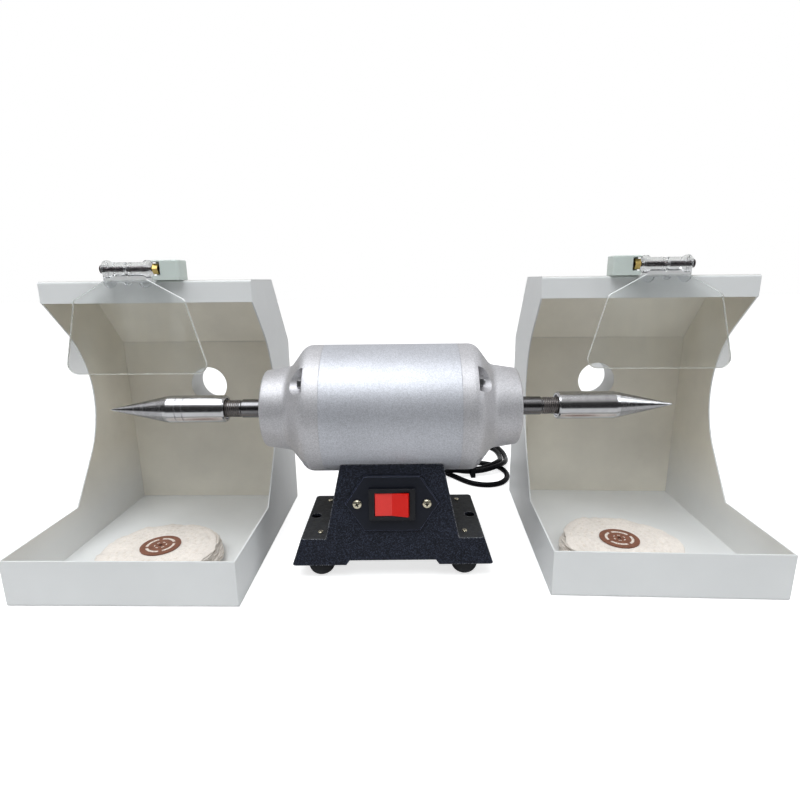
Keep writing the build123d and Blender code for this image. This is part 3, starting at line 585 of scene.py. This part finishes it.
LEAD = [
    (-20, 67.618, 50.276), (-20, 86.555, 51.821), (-20, 105, 46), (-20, 122, 34), (-20, 138, 20),
    (-20, 152, 9.5), (-20, 167, 4), (-19, 183, 3), (-10.5, 197.5, 3), (4, 207, 3), (21, 208, 3),
    (37, 200.5, 3), (50, 187.5, 3),
]
TURNS = [
    (66, 169, 3), (82, 146.5, 3), (93.5, 138.5, 3), (106.5, 136, 3), (119, 140, 3),
    (127.5, 149.5, 3), (132.5, 162, 3), (133.3, 176.4, 3), (129.5, 190, 3), (121.5, 201, 3),
    (109, 207, 3), (92, 210, 3), (71, 213.3, 3), (50, 216, 3), (26, 218, 3), (2, 217.5, 3),
    (-19, 211, 3), (-36, 197.5, 3), (-45.5, 178, 3), (-46, 157, 3), (-36, 139.5, 3),
    (-18.5, 130, 3), (2, 131, 3), (20, 140, 4), (34, 152.5, 7.5), (45, 163.5, 9.8),
    (57, 171.5, 9.8), (71, 176, 9.4), (88, 177.5, 5.6), (104, 178.2, 6.4), (117.5, 183.5, 9.4),
    (127.5, 194, 9.8), (133, 208, 7), (136, 226, 3.2), (137, 246, 3), (133, 264, 3),
    (121, 277, 3), (105, 281.5, 3), (88.5, 277.5, 3), (72, 268, 3), (55, 256, 3),
    (34, 243, 3.2), (13, 231, 5), (-8, 219.5, 8.6), (-26.5, 206.5, 9.3), (-40, 190, 9.3),
    (-46.5, 170, 9.3), (-43.5, 149.5, 9.3), (-31.5, 133.5, 9.3), (-13, 125.5, 9.3), (8, 128, 9.3),
    (27, 137, 8.6), (43, 149, 9), (56, 159.5, 9.8), (70, 166.8, 9.8), (86, 170.2, 6),
    (104, 171.2, 6.6), (120, 175.5, 9.6), (131.5, 186, 9.8), (138, 201, 7.5), (142.4, 221, 3.2),
    (144, 243, 3), (141.5, 265, 3), (133, 283.5, 3), (117, 293.5, 3), (98, 294, 3),
    (79, 288, 3.4), (60.5, 281.2, 5.5), (42, 275, 7),
]


def mains_cord():
    """The lead as one smooth round curve of its real length."""
    route = LEAD + TURNS
    line = bpy.data.curves.new("mains_cord", "CURVE")
    line.dimensions = "3D"
    spline = line.splines.new("NURBS")
    spline.points.add(len(route) - 1)
    for point, (x, y, z) in zip(spline.points, route):
        point.co = (x * MM, y * MM, z * MM, 1.0)
    spline.order_u = 3
    spline.use_endpoint_u = True
    line.resolution_u = 10
    line.bevel_depth = 0.003
    line.bevel_resolution = 5
    line.use_fill_caps = True
    cord = place("mains_cord", line, FINISHES["cord_black"], "base")
    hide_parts("cord_lead", "cord_hank")


# Screw threads on the spindle and on the pointed cones

THREAD_STEPS = 32
RUN_OUT_STEPS = 24
CREST_SHARE, ROOT_SHARE = 0.07, 0.47
SUNK = 0.10


def thread(name, side, x0, x1, radius, pitch, height, finish):
    """A raised helix round the spindle; radius gives the bare radius at each place along it."""
    count = int((x1 - x0) / pitch * THREAD_STEPS)
    points, faces = [], []
    for i in range(count + 1):
        at = x0 + pitch * i / THREAD_STEPS
        angle = 2 * math.pi * i / THREAD_STEPS
        grown = height * min(1.0, i / RUN_OUT_STEPS, (count - i) / RUN_OUT_STEPS)
        section = (
            (-ROOT_SHARE, -SUNK), (-CREST_SHARE, grown), (CREST_SHARE, grown), (ROOT_SHARE, -SUNK),
        )
        for along, rise in section:
            x = at + along * pitch
            r = radius(x) + rise
            points.append((side * x, r * math.sin(angle), AXIS_Z + r * math.cos(angle)))
        if i:
            a, b = 4 * (i - 1), 4 * i
            faces += [(a + k, a + (k + 1) % 4, b + (k + 1) % 4, b + k) for k in range(4)]
    last = 4 * count
    faces += [(0, 1, 2, 3), (last + 3, last + 2, last + 1, last)]
    mesh = mesh_of(name, points, faces, smooth=False)
    return place(name, mesh, finish, "rotor")


def shaft_radius(x):
    return SHAFT_R


def cone_radius(x):
    return CONE_R - (x - CONE_X) * (CONE_R - TIP_R) / (TIP_X - CONE_X)


def threads():
    """A coarse thread inside each sleeve's mouth and a fine one on each pointed cone."""
    dark = turned_metal("thread_steel", (0.20, 0.18, 0.17, 1.0), 0.36, 1500, 0.00004)
    for name, side in (("left", -1), ("right", 1)):
        thread(
            f"{name}_shaft_thread", side, x0=121.0, x1=135.0, radius=shaft_radius,
            pitch=1.5, height=0.42, finish=dark,
        )
        thread(
            f"{name}_cone_thread", side, x0=181.0, x1=222.5, radius=cone_radius,
            pitch=1.0, height=0.08, finish=CONE_STEEL,
        )


# Screw heads with cross recesses

SHANK_SHARE, SHANK_LENGTH = 0.45, 3.0
HEAD_PROFILE = (
    (1, 0), (1, 0.35), (0.93, 0.62), (0.72, 0.86), (0.4, 0.97), (0.15, 1), (0, 1),
)
RECESS_RADIUS, RECESS_HEIGHT = 0.66, 0.84
FIRST_SPIN, NEXT_SPIN = 0.5, 1.1


def lathe(profile, steps=28):
    """Points and faces of a profile of (radius, height) turned about Z; its ends lie on the axis."""
    points = [(0, 0, profile[0][1])]
    rings = profile[1:-1]
    for r, z in rings:
        points += [
            (r * math.cos(2 * math.pi * k / steps), r * math.sin(2 * math.pi * k / steps), z)
            for k in range(steps)
        ]
    points.append((0, 0, profile[-1][1]))
    faces = [(0, 1 + k, 1 + (k + 1) % steps) for k in range(steps)]
    for i in range(len(rings) - 1):
        a, b = 1 + i * steps, 1 + (i + 1) * steps
        faces += [(a + k, b + k, b + (k + 1) % steps, a + (k + 1) % steps) for k in range(steps)]
    end = len(points) - 1
    a = end - steps
    faces += [(end, a + (k + 1) % steps, a + k) for k in range(steps)]
    return points, faces


def cross_cutter(size, width, depth):
    """A cross that tapers downwards, from 1 mm above height 0 to its depth below."""
    cutter = bmesh.new()
    for quarter in (0, 1):
        for v in bmesh.ops.create_cube(cutter, size=1.0)["verts"]:
            share = 1.0 if v.co.z > 0 else 0.45
            along = v.co.x * size * share
            wide = v.co.y * width * (0.6 + 0.4 * share)
            v.co = Vector((-wide, along, 0)) if quarter else Vector((along, wide, 0))
            v.co.z = 1.0 if share == 1.0 else -depth
    mesh = bpy.data.meshes.new("cutter")
    for v in cutter.verts:
        v.co *= MM
    cutter.to_mesh(mesh)
    cutter.free()
    return mesh


def cross_head(name, radius, height):
    """Pan head with a cross recess, standing on Z = 0."""
    shank = radius * SHANK_SHARE
    profile = [(0, -SHANK_LENGTH), (shank, -SHANK_LENGTH), (shank, 0)]
    profile += [(radius * out, height * up) for out, up in HEAD_PROFILE]
    points, faces = lathe(profile)
    head = bpy.data.objects.new("head", mesh_of(name, points, faces, smooth=False))
    recess = cross_cutter(size=radius * 1.25, width=radius * 0.32, depth=height * 0.75)
    cutter = bpy.data.objects.new("cutter", recess)
    cutter.location.z = height * MM
    for piece in (head, cutter):
        scene.collection.objects.link(piece)
    cut = head.modifiers.new("recess", "BOOLEAN")
    cut.operation = "DIFFERENCE"
    cut.solver = "EXACT"
    cut.use_self = True
    cut.object = cutter
    graph = bpy.context.evaluated_depsgraph_get()
    mesh = bpy.data.meshes.new_from_object(head.evaluated_get(graph))
    for piece in (head, cutter):
        bpy.data.objects.remove(piece)
    # Faces inside the cross recess take the second, dark material: painted shade.
    for face in mesh.polygons:
        x, y, z = face.center / MM
        if math.hypot(x, y) < RECESS_RADIUS * radius and 0 < z < RECESS_HEIGHT * height:
            face.material_index = 1
    return mesh


def screw_heads(name, node, spots, radius, height):
    """One cross head for each spot, a point and an outward direction, in place of a node."""
    single = cross_head(name, radius, height)
    joined = bmesh.new()
    for k, (point, out) in enumerate(spots):
        turn = out.to_track_quat("Z", "Y").to_matrix().to_4x4()
        spin = Matrix.Rotation(FIRST_SPIN + NEXT_SPIN * k, 4, "Z")
        mesh = single.copy()
        mesh.transform(Matrix.Translation(point * MM) @ turn @ spin)
        joined.from_mesh(mesh)
    mesh = bpy.data.meshes.new(name)
    joined.to_mesh(mesh)
    joined.free()
    heads = place(name, mesh, FINISHES["screw_nickel"], "base")
    mesh.materials.append(RECESS_SHADE)
    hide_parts(node)


def front_spot(x, z, out):
    """A point on the leaning front of the base, out by so much, and the way it faces."""
    facing = Vector((0, -1, FRONT_LEAN)).normalized()
    y = FRONT_Y + (z - FRONT_Z) * FRONT_LEAN
    return Vector((x, y, z)) + facing * out, facing


def all_screw_heads():
    """The two screws of the switch panel and the four of the feet."""
    panel_spots = [
        front_spot(x, PANEL_SCREW_Z, PANEL_THICK) for x in (-PANEL_SCREW_X, PANEL_SCREW_X)
    ]
    screw_heads("panel_screw_heads", "switch_screws", panel_spots, radius=3.5, height=2.0)
    up = Vector((0, 0, 1))
    foot_spots = [
        (Vector((x, y, FOOT_SCREW_Z)), up)
        for x in (-FOOT_SCREW_X, FOOT_SCREW_X)
        for y in (-FOOT_SCREW_Y, FOOT_SCREW_Y)
    ]
    screw_heads("foot_screw_heads", "foot_screws", foot_spots, radius=2.2, height=1.3)


# Muslin buffs: a pile of sewn cloth discs with frayed edges, in millimetres

CLOTH_STEPS = 288
CLOTH_LAYERS = 15
CLOTH_PITCH = BUFF_THICK / CLOTH_LAYERS
CLOTH_GAP = 0.12
BORE_R = 1.6
INNER_R = 36.0
TOP_RADII = [BORE_R, 8.0, 15.0, 17.5] + [18.5 + 0.9 * j for j in range(24)]
SEWN_ROWS = (21.0, 26.5, 32.0, 37.5)
STITCH = 4.6
OVAL = 4.5
FLAT_R, SLUMP_WIDTH, SAG = 19.0, 26.0, 2.4
FRAYS = 700
FRAY_SECTION = ((0.0012, 0), (-0.0012, 0), (0, 0.09))
FIRST_SEED = 3

# How quickly each unevenness of the cloth changes round the buff, and how far it reaches
BROAD_RIPPLE, FINE_RIPPLE = (2.6, 2.2), (7.0, 1.1)
BROAD_PUCKER, FINE_PUCKER = (5.0, 0.5), (16.0, 0.45)
BROAD_RIM, FINE_RIM = (2.4, 3.0), (9.0, 1.1)
RIM_LIFT = (4.0, 0.14)


def stitches(a, r):
    """How hard the sewing pulls the cloth down at a place, from 0 to 1."""
    pull = 0.0
    for k, row in enumerate(SEWN_ROWS):
        count = round(2 * math.pi * row / STITCH)
        spot = Vector((math.cos(a) * row * 0.2, math.sin(a) * row * 0.2, 5.0 * k))
        stray = noise.noise(spot)
        tight = (0.5 + 0.5 * math.cos(count * a + 3.0 * stray)) * (0.6 + 0.8 * stray)
        pull += max(0.0, tight) * math.exp(-((r - row - 1.2 * stray) / 0.9) ** 2)
    return pull


def tuck(share):
    """How far a layer's rim stands back, by its height in the pile."""
    return 8.0 * max(0.0, share - 0.45) ** 1.3 + 8.0 * max(0.0, 0.2 - share)


class ClothPile:
    """The points and faces of one buff, with how much dirt and painted shade darken the cloth at each
    point.
    """

    def __init__(self, side, seed):
        self.middle = BUFF_MIDDLES[side]
        self.outward = math.pi if side == "left" else 0.0
        self.seed = seed
        self.points = []
        self.faces = []
        self.soil_and_shade = []

    def wave(self, k, angle, scale, reach):
        """A smooth uneven value by angle, another for each number k and each buff."""
        along, across = math.cos(angle) * scale, math.sin(angle) * scale
        return noise.noise(Vector((along, across, k * 3.7 + self.seed * 11.3))) * reach

    def slumped(self, a, r, z):
        """A point of the pile, which sags and ripples towards its rim, the more the higher up."""
        x0, y0 = self.middle
        share = (z - BUFF_Z) / BUFF_THICK
        out = max(0.0, min(1.0, (r - FLAT_R) / SLUMP_WIDTH))
        ripple = self.wave(3, a, *BROAD_RIPPLE) + self.wave(17, a, *FINE_RIPPLE)
        sagged = z + share * (ripple * out - SAG * out * out)
        return (x0 + r * math.cos(a), y0 + r * math.sin(a), sagged)

    def oval(self, a):
        """How far the rim is drawn out towards the hood's outer cheek."""
        return OVAL * max(0.0, math.cos(a - self.outward)) ** 2

    def quilted(self, a, r, low):
        """Height of the top layer, puckered between its rows of sewing."""
        crown = min(0.0, -0.5 * ((r - 30) / 24) ** 2)
        wide = (r > 17) * self.wave(21, a + 0.06 * r, *BROAD_PUCKER)
        fine = (r > 19) * self.wave(45, a - 0.04 * r, *FINE_PUCKER)
        return low + CLOTH_PITCH - CLOTH_GAP + crown + (wide + fine) - 0.9 * stitches(a, r)

    def ring(self, radius_of, height_of, soil_and_shade_of):
        """A ring of points, with radius, height and darkening by angle, for dirt and painted shade;
        gives its first number.
        """
        start = len(self.points)
        for i in range(CLOTH_STEPS):
            a = 2 * math.pi * i / CLOTH_STEPS
            self.points.append(self.slumped(a, radius_of(a), height_of(a)))
            self.soil_and_shade.append(soil_and_shade_of(a))
        return start

    def layer(self, k):
        """One closed disc of cloth; those within the pile are rings, as their middles are hidden."""
        low = BUFF_Z + k * CLOTH_PITCH
        bottom = k == 0
        top = k == CLOTH_LAYERS - 1
        inner = BORE_R if top or bottom else INNER_R

        def level(value):
            return lambda a: value

        def edge(a):
            frayed = self.wave(k * 0.12, a, *BROAD_RIM) + self.wave(k + 50, a, *FINE_RIM)
            return BUFF_R - 0.8 - tuck(k / CLOTH_LAYERS) + self.oval(a) + frayed

        def hem(a):
            return edge(a) - 0.5

        def lift(a):
            return self.wave(k + 90, a, *RIM_LIFT)

        # On the top layer the stitches darken the cloth: painted shadow of the sewing.
        if top:
            rings = [
                self.ring(level(r), lambda a: self.quilted(a, r, low), lambda a: stitches(a, r))
                for r in TOP_RADII
            ]
        else:
            upper = level(low + CLOTH_PITCH - CLOTH_GAP)
            rings = [self.ring(level(r), upper, level(1.0)) for r in (inner, 43.0)]
        under = level(low + 0.08)
        # Undersides and rings within the pile are darkened: painted shade between the layers, with
        # some dirt.
        under_soil_and_shade = level(0.2 if bottom else 1.0)
        rings += [
            self.ring(hem, lambda a: low + CLOTH_PITCH - 0.16 + lift(a), level(0.1)),
            self.ring(edge, lambda a: low + CLOTH_PITCH * 0.55 + lift(a), level(0.0)),
            self.ring(hem, lambda a: low + 0.1 + lift(a) * 0.8, level(0.1 if bottom else 0.5)),
            self.ring(level(40.0), under, under_soil_and_shade),
            self.ring(level(inner), under, under_soil_and_shade),
        ]
        for a, b in zip(rings, rings[1:] + rings[:1]):
            for i in range(CLOTH_STEPS):
                j = (i + 1) % CLOTH_STEPS
                self.faces.append((a + i, a + j, b + j, b + i))

    def fray(self, rng):
        """A loose thread that stands out of the rim, bent and drooping towards its end."""
        a = rng.uniform(0, 2 * math.pi)
        z = BUFF_Z + rng.uniform(1.5, BUFF_THICK - 0.5)
        root = BUFF_R - 1.6 - tuck((z - BUFF_Z) / BUFF_THICK) + self.oval(a)
        reach = rng.uniform(0.8, 2.4)
        bend = rng.uniform(-0.05, 0.05)
        drop = rng.uniform(-0.9, 0.7)
        start = len(self.points)
        for share in (0.0, 0.5, 1.0):
            turn = a + bend * share * share
            for da, dz in FRAY_SECTION:
                height = max(BUFF_Z + 0.2, z + drop * share * share + dz)
                self.points.append(self.slumped(turn + da, root + reach * share, height))
                self.soil_and_shade.append(0.0)
        for s in (start, start + 3):
            for q in range(3):
                p = (q + 1) % 3
                self.faces.append((s + q, s + p, s + 3 + p, s + 3 + q))
        self.faces += [(start + 2, start + 1, start), (start + 6, start + 7, start + 8)]


def cloth_buff(side, seed):
    """A buff of loose cloth in place of its plain solid."""
    pile = ClothPile(side, seed)
    for k in range(CLOTH_LAYERS):
        pile.layer(k)
    rng = random.Random(seed)
    for _ in range(FRAYS):
        pile.fray(rng)
    mesh = mesh_of(f"{side}_muslin_buff", pile.points, pile.faces)
    mesh.attributes.new("soil_and_shade", "FLOAT", "POINT").data.foreach_set("value", pile.soil_and_shade)
    piece = place(f"{side}_muslin_buff", mesh, FINISHES["muslin"], f"{side}_buff")
    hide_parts(f"{side}_buff")


# Stage: a white floor, softboxes and a room that is dim in front and bright above the bench

FLOOR_HALF = 6
COOL_WHITE = (0.945, 0.985, 1.015)


def floor():
    """A bench that looks white, and that shines back less light in front than behind."""
    corners = [(-1, -1), (1, -1), (1, 1), (-1, 1)]
    mesh = bpy.data.meshes.new("bench")
    mesh.from_pydata([(x * FLOOR_HALF, y * FLOOR_HALF, 0) for x, y in corners], [], [(0, 1, 2, 3)])
    bench = bpy.data.objects.new("bench", mesh)
    scene.collection.objects.link(bench)
    pale = Finish(
        "bench_white", (0.62, 0.62, 0.62, 1.0), roughness=0.7,
        Emission_Color=(1.0, 1.0, 1.0, 1.0), Emission_Strength=0.72,
    )
    pale.plug("Base Color", pale.vary(pale.noise(3, 2), 0.61, 0.63))
    dull = pale.add("ShaderNodeBsdfDiffuse")
    behind = pale.math("ADD", pale.axes(pale.where)["Y"], 1.0)
    pale.link(pale.ramp(behind, (0.44, 0.05), (0.62, 0.72)), dull.inputs["Color"])
    seen = pale.add("ShaderNodeLightPath").outputs["Is Camera Ray"]
    pale.blend(seen, dull, pale.bsdf)
    mesh.materials.append(pale.material)


def room():
    """A white background whose light varies with height, and is weak low in front."""
    world = bpy.data.worlds.new("studio")
    scene.world = world
    world.use_nodes = True
    tree = world.node_tree
    tree.nodes.clear()
    link = tree.links.new
    where = new_node(tree, "ShaderNodeSeparateXYZ")
    link(new_node(tree, "ShaderNodeTexCoord").outputs["Generated"], where.inputs[0])
    share = new_node(tree, "ShaderNodeMapRange", From_Min=-1.0, From_Max=1.0)
    link(where.outputs["Z"], share.inputs["Value"])

    def by_height(*stops):
        """Brightness of the room by the height of the direction, from -1 to 1."""
        scaled = [((height + 1) / 2, value) for height, value in stops]
        return color_ramp(tree, share.outputs["Result"], scaled)

    in_front = new_node(tree, "ShaderNodeMapRange", From_Min=0.15, From_Max=-0.45)
    in_front.interpolation_type = "SMOOTHSTEP"
    link(where.outputs["Y"], in_front.inputs["Value"])
    mixed = new_node(tree, "ShaderNodeMix")
    mixed.data_type = "RGBA"
    link(in_front.outputs["Result"], mixed.inputs[0])
    rear = by_height((-1.0, 0.4), (0.0, 0.48), (0.6, 0.62), (1.0, 0.75))
    front = by_height(
        (-0.1, 0.05), (0.10, 0.04), (0.50, 0.06), (0.68, 0.52), (0.84, 0.72), (1.0, 0.80),
    )
    link(rear, mixed.inputs[6])
    link(front, mixed.inputs[7])
    light = new_node(tree, "ShaderNodeBackground", Strength=1.0)
    link(mixed.outputs[2], light.inputs["Color"])
    white = new_node(tree, "ShaderNodeBackground", Color=(1.0, 1.0, 1.0, 1.0), Strength=1.0)
    both = new_node(tree, "ShaderNodeMixShader")
    link(new_node(tree, "ShaderNodeLightPath").outputs["Is Camera Ray"], both.inputs[0])
    link(light.outputs[0], both.inputs[1])
    link(white.outputs[0], both.inputs[2])
    link(both.outputs[0], new_node(tree, "ShaderNodeOutputWorld").inputs["Surface"])


def softbox(name, place_at, aim, width, depth, power):
    """A cool white panel of light, in metres and watts."""
    lamp = bpy.data.lights.new(name, "AREA")
    lamp.shape = "RECTANGLE"
    lamp.size = width
    lamp.size_y = depth
    lamp.energy = power
    lamp.color = COOL_WHITE
    panel = bpy.data.objects.new(name, lamp)
    panel.location = place_at
    panel.rotation_euler = (Vector(aim) - Vector(place_at)).to_track_quat("-Z", "Y").to_euler()
    scene.collection.objects.link(panel)


def stage():
    """Floor, room and lights, with plain colours."""
    floor()
    room()
    # The overhead boxes end left of the right arbor's reflection, which stays grey as in the photo
    softbox(
        "key", place_at=(-0.22, -0.44, 1.26), aim=(0, 0, 0.1), width=1.25, depth=1.1, power=8.6,
    )
    softbox(
        "key_core", place_at=(-0.35, -0.50, 1.235), aim=(-0.1, 0, 0.1), width=1.2, depth=0.60,
        power=6.45,
    )
    softbox(
        "side", place_at=(1.35, -0.45, 1.0), aim=(0.19, 0, 0.05), width=0.6, depth=0.9, power=6.0,
    )
    scene.view_settings.view_transform = "Standard"
    scene.view_settings.look = "None"


make_camera()
dress_nodes()
mains_cord()
threads()
all_screw_heads()
for seed, side in enumerate(SIDES, FIRST_SEED):
    cloth_buff(side, seed)
stage()
